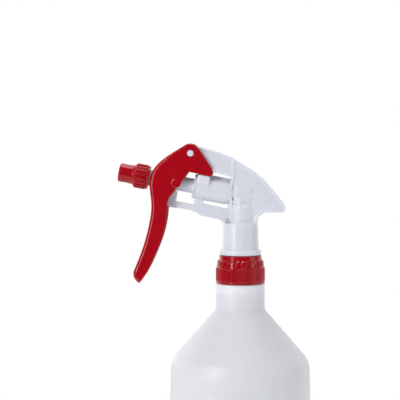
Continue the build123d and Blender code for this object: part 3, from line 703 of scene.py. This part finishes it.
# ------------------------------------------------------------------ nozzle cap
class SPRAYER_OT_nozzle_cap(Operator):
    """Turning nozzle cap with its grip ribs and its small orifice"""

    bl_idname = "sprayer.nozzle_cap"
    bl_label = "Nozzle cap"

    def execute(self, context):
        sizes = context.scene.sprayer_sizes
        rear, front = span_u("nozzle_cap")[1] / MM, span_u("nozzle_cap")[0] / MM
        length = rear - front
        # Turned about Z with its front upwards, then laid along the barrel.
        outline = divided(blended([
            (5.9, 0.0, 0.2), (7.9, 0.0, 0.3), (7.9, 1.0, 0.3), (7.45, 1.4, 0.3), (7.4, length - 11.6, 0.8),
            (6.5, length - 9.6, 1.2), (6.2, length - 6.0, 2), (6.4, length - 0.9, 0.6),
            (5.7, length, 0.7), (1.7, length, 0.2), (1.2, length - 0.5, 0.2), (0.4, length - 0.6, 0.1),
            (0.4, length - 1.8, 0), (4.2, length - 1.8, 0), (4.2, 8.1, 0), (5.9, 8.1, 0),
        ], 4), 0.5)
        place = HEAD @ Matrix.Translation((rear * MM, 0, AXIS_V)) @ Matrix.Rotation(-math.pi / 2, 4, "Y")
        body = lathe("nozzle_cap_skin", [(r * MM, z * MM) for r, z in outline], CAP_SEGMENTS)
        tree = ribbed_tree("nozzle grip ribs", finish("red"))
        body = grow(
            body, tree, rib_count=float(sizes.nozzle_ribs), rib_height=0.95 * MM,
            rib_sharpness=1.2, rib_from=0.9 * MM, rib_to=(length - 10.6) * MM, rib_fade=1.2 * MM,
            notch_count=0.0, notch_depth=0.0, notch_from=0.0, notch_to=0.001, outside_from=6.6 * MM,
        )
        body.data.transform(place)
        body.data.shade_smooth()
        dress(body, "red")
        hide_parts("nozzle_cap")
        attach(body, "nozzle_cap")
        return {"FINISHED"}


# ------------------------------------------------------------------ trigger
class SPRAYER_OT_trigger(Operator):
    """Hollow trigger lever with soft moulded edges"""

    bl_idname = "sprayer.trigger"
    bl_label = "Trigger"

    def execute(self, context):
        trigger = cad_copy("trigger_skin", "trigger")
        soften(trigger, 0.38 * MM, 8, 190000)
        dress(trigger, "red")
        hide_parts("trigger")
        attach(trigger, "trigger")
        return {"FINISHED"}


# ------------------------------------------------------------------ pump frame
PIVOT_RISE = 47.3  # millimetres from the top of the lower stem to the trigger's pivot


def spot(u, v):
    """World (x, z) in millimetres of a point u along and v up across the barrel."""
    place = HEAD @ Vector((u * MM, 0, v * MM))
    return place.x / MM, place.z / MM


def side_plates(name, corners, low, high):
    """The same plate on both sides of the middle plane, between two distances from it."""
    plates = []
    corners = [(x * MM, z * MM) for x, z in corners]
    for side in (-1, 1):
        middle = Matrix.Translation((0, side * (low + high) / 2 * MM, 0))
        plates.append(prism(name, corners, (high - low) / 2 * MM, middle))
    return plates


def crest(name):
    """Four-sided peak where the upper stem runs into the arm."""
    base = 234.0
    points = []
    for x, y, z in ((-7.9, 4.0, base), (-0.2, 9.6, base), (9.6, 5.0, base), (-0.9, 8.3, 242.4)):
        points.append([(x * MM, side * y * MM, z * MM) for side in (-1, 1)])
    mesh = bmesh.new()
    verts = [mesh.verts.new(place) for pair in points for place in pair]
    bmesh.ops.convex_hull(mesh, input=verts)
    return mesh_object(name, mesh)


def arm_panels():
    """Shallow panels that leave only a low rim round the arm."""
    pivot = (PIVOT.x / MM, PIVOT.z / MM)
    top = pivot[1] - PIVOT_RISE
    corners = blended([
        (pivot[0] + 4.6, pivot[1] + 3.6, 2.0), (-8.3, top + 45.1, 60), (13.4, top + 31.3, 50),
        (29.9, top + 11.7, 5), (28.7, top + 8.3, 1.0), (15.6, top + 8.3, 3.5), (10.7, top + 4.5, 3),
        (10.7, top + 0.3, 0), (-6.0, top + 0.3, 0), (*spot(35.0, -29.0), 0), (*spot(33.6, -18.0), 0),
        (*spot(31.3, -14.0), 0), (*spot(31.0, -11.0), 0.5), (*spot(16.0, -8.8), 0), (*spot(5.0, -3.8), 0),
    ], 14)
    panels = side_plates("arm_panel", corners, 1.5, 6.2)
    upright = [(-5.6, 254.8), (-4.0, 254.8), (-4.0, top + 43.6), (-5.6, top + 44.6)]
    panels += side_plates("arm_upright", upright, 5.0, 6.9)
    brace = [(6.5, 244.0), (20.5, 240.2), (20.3, 239.3), (6.3, 243.1)]
    panels += side_plates("arm_brace", brace, 5.0, 6.8)
    chamber = [spot(u, v) for u, v in ((34.6, -15.9), (45.4, -15.9), (45.4, -27.2), (34.6, -27.2))]
    return panels + side_plates("valve_chamber", chamber, 3.0, 7.1)


def clear_bore(data):
    """Opens the barrel's bore by a hair, so that the sliding seals run free of its skin."""
    low, high = span_u("barrel_guide")[0], 31.4 * MM
    back = HEAD.inverted()
    for vertex in data.vertices:
        place = back @ vertex.co
        radius = math.hypot(place.y, place.z - AXIS_V)
        if low < place.x < high and 5.4 * MM < radius < 6.9 * MM:
            share = 6.75 * MM / radius if radius < 6.75 * MM else 1.0
            place.y *= share
            place.z = AXIS_V + (place.z - AXIS_V) * share
            vertex.co = HEAD @ place


def barrel_cheeks():
    """Flat cheeks that run from the barrel's middle up to the stop ledges."""
    corners = [spot(u, v) for u, v in ((7.6, -21.6), (16.2, -21.6), (16.2, -13.2), (7.6, -13.2))]
    return side_plates("barrel_cheek", corners, 6.6, 8.4)


class SPRAYER_OT_pump_frame(Operator):
    """White moulded frame of the pump: arm, barrel, pipe, stem and flange"""

    bl_idname = "sprayer.pump_frame"
    bl_label = "Pump frame"

    def execute(self, context):
        shell = cad_copy("pump_frame_skin", "sprayer_body")
        shell = merged("pump_frame_skin", [shell, crest("crest"), *arm_panels(), *barrel_cheeks()])
        soften(shell, 0.4 * MM, 3, 195000)
        clear_bore(shell.data)
        dress(shell, "white")
        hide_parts("sprayer_body")
        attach(shell, "head")
        return {"FINISHED"}


# ------------------------------------------------------------------ springs
class SPRAYER_OT_springs(Operator):
    """Return spring round the piston rod and the small outlet spring"""

    bl_idname = "sprayer.springs"
    bl_label = "Springs"

    def execute(self, context):
        wire = context.scene.sprayer_sizes.spring_wire
        tree = coil_tree("compression spring", finish("steel"))
        for name, node, joint, turns, radius, thick, fixed_high in (
            ("return_coil", "return_spring", "piston_slide", 10.0, 2.5 * MM, wire, True),
            ("outlet_coil", "outlet_spring", "valve_open", 4.0, 1.4 * MM, wire * 0.5, False),
        ):
            low, high = span_u(node)
            length = high - low - 2 * thick
            coil = grow(
                add_object(name, bpy.data.meshes.new(name)), tree,
                turns=turns, radius=radius, length=length, wire=thick,
            )
            turn = Matrix.Rotation(math.pi / 2, 4, "Y")
            coil.data.transform(HEAD @ Matrix.Translation((low + thick, 0, AXIS_V)) @ turn)
            coil.data.shade_smooth()
            dress(coil, "steel")
            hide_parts(node)
            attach(coil, "head")
            keep = 1 - JOINTS[joint]["range_m"][1] / (high - low)
            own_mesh(coil)
        return {"FINISHED"}


# ------------------------------------------------------------------ inner parts
INNER_FINISHES = {
    "valve_insert": "white", "tube_filter": "white", "barrel_guide": "white", "piston": "white",
    "outlet_valve": "white", "spinner": "white", "dip_tube": "tube", "vent_seal": "seal",
    "pressure_seal": "seal", "closure_gasket": "foam", "nozzle_seal": "foam",
    "channel_plug": "grey", "intake_ball": "steel",
}


class SPRAYER_OT_inner_parts(Operator):
    """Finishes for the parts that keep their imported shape"""

    bl_idname = "sprayer.inner_parts"
    bl_label = "Inner parts"

    def execute(self, context):
        for node, name in INNER_FINISHES.items():
            thing = frame["nodes"][node]
            thing.data.materials.clear()
            thing.data.materials.append(finish(name))
        return {"FINISHED"}


# ------------------------------------------------------------------ stage
def aim(thing, target):
    thing.rotation_euler = (Vector(target) - thing.location).to_track_quat("-Z", "Y").to_euler()


def soft_light(name, place, target, size, power, colour=(1.0, 1.0, 1.0)):
    data = bpy.data.lights.new(name, "AREA")
    data.shape = "RECTANGLE"
    data.size, data.size_y = size
    data.energy = power
    data.color = colour
    lamp = bpy.data.objects.new(name, data)
    lamp.location = place
    bpy.context.scene.collection.objects.link(lamp)
    aim(lamp, target)
    return lamp


def stage_floor():
    """Pale floor that runs out to plain white behind the bottle."""
    mesh = bmesh.new()
    corners = ((-1.3, -0.5), (1.3, -0.5), (1.3, 2.5), (-1.3, 2.5))
    mesh.faces.new([mesh.verts.new((x, y, 0)) for x, y in corners])
    floor = mesh_object("floor", mesh, outward=False)
    material = bpy.data.materials.new("pale floor")
    material.use_nodes = True
    material.node_tree.nodes.clear()
    graph = Graph(material.node_tree)
    shader = graph.node("ShaderNodeBsdfPrincipled")
    shader.inputs["Base Color"].default_value = (0.86, 0.86, 0.87, 1)
    shader.inputs["Roughness"].default_value = 0.6
    glow = graph.node("ShaderNodeEmission", Strength=1.0)
    glow.inputs["Color"].default_value = (1, 1, 1, 1)
    place = graph.out(graph.node("ShaderNodeTexCoord"), "Object")
    x, y, z = graph.split(place)
    reach = graph.math("SQRT", x * x + y * y)
    far = graph.ramp(reach, 0.12, 0.34)
    rays = graph.node("ShaderNodeLightPath")
    seen = graph.math("MAXIMUM", graph.out(rays, "Is Camera Ray"), graph.out(rays, "Is Transmission Ray"))
    seen = graph.math("MAXIMUM", seen, graph.out(rays, "Is Glossy Ray"))
    blend = graph.node("ShaderNodeMixShader", i0=far * seen)
    graph.tree.links.new(shader.outputs[0], blend.inputs[1])
    graph.tree.links.new(glow.outputs[0], blend.inputs[2])
    output = graph.node("ShaderNodeOutputMaterial")
    graph.tree.links.new(blend.outputs[0], output.inputs["Surface"])
    floor.data.materials.append(material)


class SPRAYER_OT_stage(Operator):
    """Pale floor, plain studio light and the camera"""

    bl_idname = "sprayer.stage"
    bl_label = "Stage"

    def execute(self, context):
        scene = context.scene
        scene.view_settings.view_transform = "Standard"
        world = bpy.data.worlds.new("studio")
        world.use_nodes = True
        world.node_tree.nodes.clear()
        graph = Graph(world.node_tree)
        rays = graph.node("ShaderNodeLightPath")
        seen = graph.math(
            "MAXIMUM", graph.out(rays, "Is Camera Ray"), graph.out(rays, "Is Transmission Ray"))
        # Gloss shows the white backdrop behind the bottle and the dark room in front of it.
        way = graph.split(graph.out(graph.node("ShaderNodeTexCoord"), "Generated"))
        backdrop = graph.ramp(way[1], 0.05, 0.6)
        glossy = graph.out(rays, "Is Glossy Ray")
        seen = graph.math("MAXIMUM", seen, glossy * backdrop)
        fill = graph.node("ShaderNodeBackground", Strength=0.5 - glossy * 0.43)
        fill.inputs["Color"].default_value = (0.93, 0.95, 1.0, 1)
        white = graph.node("ShaderNodeBackground", Strength=1.0)
        white.inputs["Color"].default_value = (1, 1, 1, 1)
        blend = graph.node("ShaderNodeMixShader", i0=seen)
        graph.tree.links.new(fill.outputs[0], blend.inputs[1])
        graph.tree.links.new(white.outputs[0], blend.inputs[2])
        output = graph.node("ShaderNodeOutputWorld")
        graph.tree.links.new(blend.outputs[0], output.inputs["Surface"])
        scene.world = world
        stage_floor()
        middle = (-0.01, 0.0, 0.2)
        soft_light("key light", (-0.74, -0.76, 0.56), middle, (0.24, 0.95), 6.9)
        soft_light("side light", (0.95, -0.35, 0.35), middle, (0.6, 0.9), 2.5)
        soft_light("top light", (0.0, 0.1, 1.1), middle, (0.6, 0.6), 4.0)
        soft_light("back light", (-0.6, 0.8, 0.5), middle, (0.5, 0.9), 0.9)
        data = bpy.data.cameras.new("camera")
        data.lens = 126.0
        data.sensor_width = 36.0
        camera = bpy.data.objects.new("camera", data)
        camera.location = (0.006, -0.95, 0.286)
        scene.collection.objects.link(camera)
        aim(camera, (-0.0275, 0.0, 0.2401))
        scene.camera = camera
        return {"FINISHED"}


# ------------------------------------------------------------------ add-on
class SPRAYER_PT_panel(Panel):
    """Buttons for each piece of the sprayer"""

    bl_idname = "SPRAYER_PT_panel"
    bl_label = "Trigger spray bottle"
    bl_space_type = "VIEW_3D"
    bl_region_type = "UI"
    bl_category = "Sprayer"

    def draw(self, context):
        layout = self.layout
        for group in (context.scene.sprayer_sizes, context.scene.sprayer_colours):
            box = layout.box()
            for key in group.__annotations__:
                box.prop(group, key)
        for operator in OPERATORS:
            layout.operator(operator.bl_idname)


OPERATORS = (
    SPRAYER_OT_bottle, SPRAYER_OT_closure, SPRAYER_OT_nozzle_cap, SPRAYER_OT_trigger,
    SPRAYER_OT_pump_frame, SPRAYER_OT_springs, SPRAYER_OT_inner_parts, SPRAYER_OT_stage,
)
CLASSES = (SprayerColours, SprayerSizes, *OPERATORS, SPRAYER_PT_panel)


def register():
    for entry in CLASSES:
        bpy.utils.register_class(entry)
    bpy.types.Scene.sprayer_colours = PointerProperty(type=SprayerColours)
    bpy.types.Scene.sprayer_sizes = PointerProperty(type=SprayerSizes)


def unregister():
    del bpy.types.Scene.sprayer_sizes
    del bpy.types.Scene.sprayer_colours
    for entry in reversed(CLASSES):
        bpy.utils.unregister_class(entry)


def main():
    register()
    for operator in OPERATORS:
        group, name = operator.bl_idname.split(".")
        getattr(getattr(bpy.ops, group), name)()


if __name__ == "__main__":
    main()
